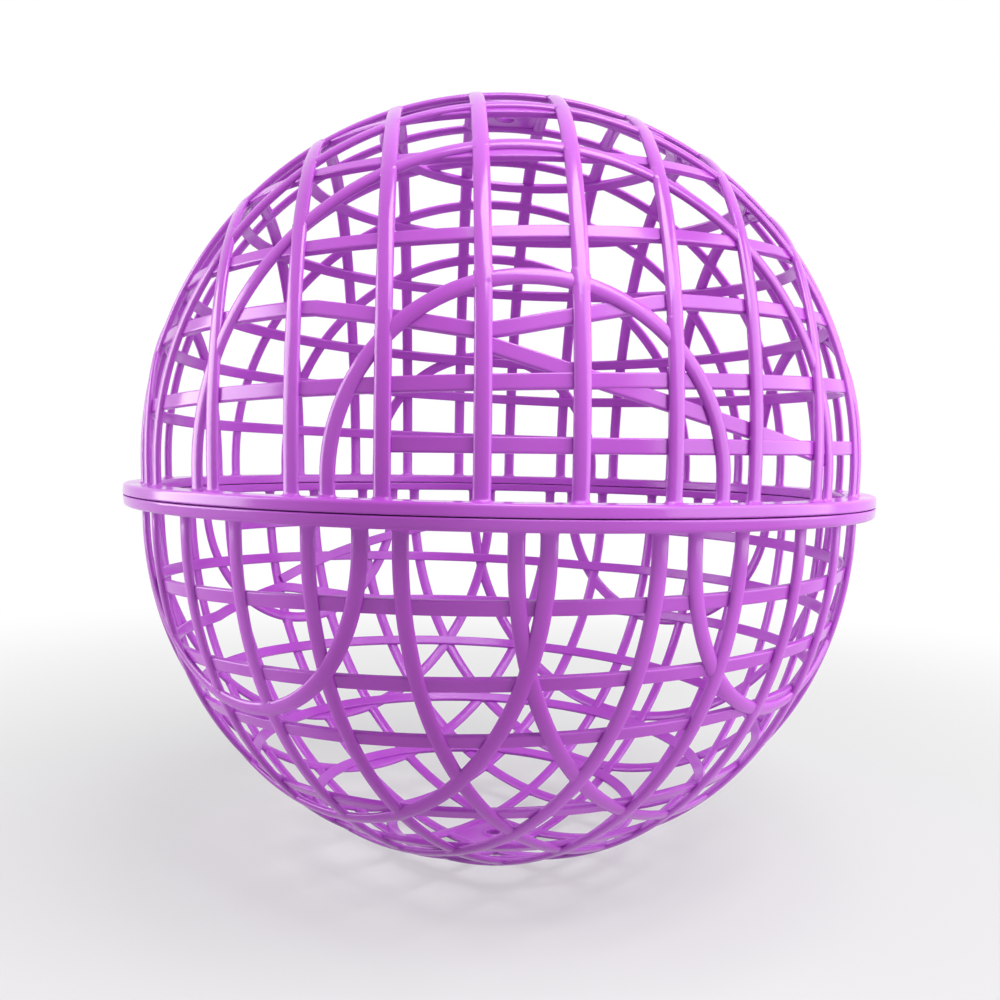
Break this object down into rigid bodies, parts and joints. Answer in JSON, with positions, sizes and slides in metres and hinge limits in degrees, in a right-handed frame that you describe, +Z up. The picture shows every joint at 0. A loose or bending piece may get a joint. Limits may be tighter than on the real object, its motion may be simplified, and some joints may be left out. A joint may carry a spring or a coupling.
{
  "type": "ball cage",
  "caption": "Round openwork cage for a chick or small hen: identical purple plastic half-cages that meet at flat rims, with crossing ribs outside and a flat spiral band inside.",
  "frame": {"origin": "on the floor, under the middle of the ball", "axes": "+Z up, from the lower half to the upper half; +X along the upper half's cross ribs; +Y along its long ribs, away from the viewer"},
  "size_m": [0.316, 0.316, 0.322],
  "materials": {
    "plastic": "semi-gloss injection-moulded purple plastic"
  },
  "bodies": {
    "lower_half": {"lower_rim": "plastic", "lower_pole_plate": "plastic", "lower_band_tie": "plastic", "lower_long_ribs_1": "plastic", "lower_long_ribs_2": "plastic", "lower_long_ribs_3": "plastic", "lower_long_ribs_4": "plastic", "lower_long_ribs_5": "plastic", "lower_cross_ribs_1": "plastic", "lower_cross_ribs_2": "plastic", "lower_cross_ribs_3": "plastic", "lower_cross_ribs_4": "plastic", "lower_cross_ribs_5": "plastic", "lower_band_turn_1": "plastic", "lower_band_turn_2": "plastic", "lower_band_turn_3": "plastic", "lower_band_turn_4": "plastic", "lower_band_turn_5": "plastic", "lower_band_turn_6": "plastic"},
    "upper_half": {"upper_rim": "plastic", "upper_pole_plate": "plastic", "upper_band_tie": "plastic", "upper_long_ribs_1": "plastic", "upper_long_ribs_2": "plastic", "upper_long_ribs_3": "plastic", "upper_long_ribs_4": "plastic", "upper_long_ribs_5": "plastic", "upper_cross_ribs_1": "plastic", "upper_cross_ribs_2": "plastic", "upper_cross_ribs_3": "plastic", "upper_cross_ribs_4": "plastic", "upper_cross_ribs_5": "plastic", "upper_band_turn_1": "plastic", "upper_band_turn_2": "plastic", "upper_band_turn_3": "plastic", "upper_band_turn_4": "plastic", "upper_band_turn_5": "plastic", "upper_band_turn_6": "plastic"}
  },
  "joints": [
    {"name": "upper_half_lift", "type": "slide", "parent": "lower_half", "child": "upper_half", "axis": [0, 0, 1], "range_m": [0, 0.2]}
  ]
}
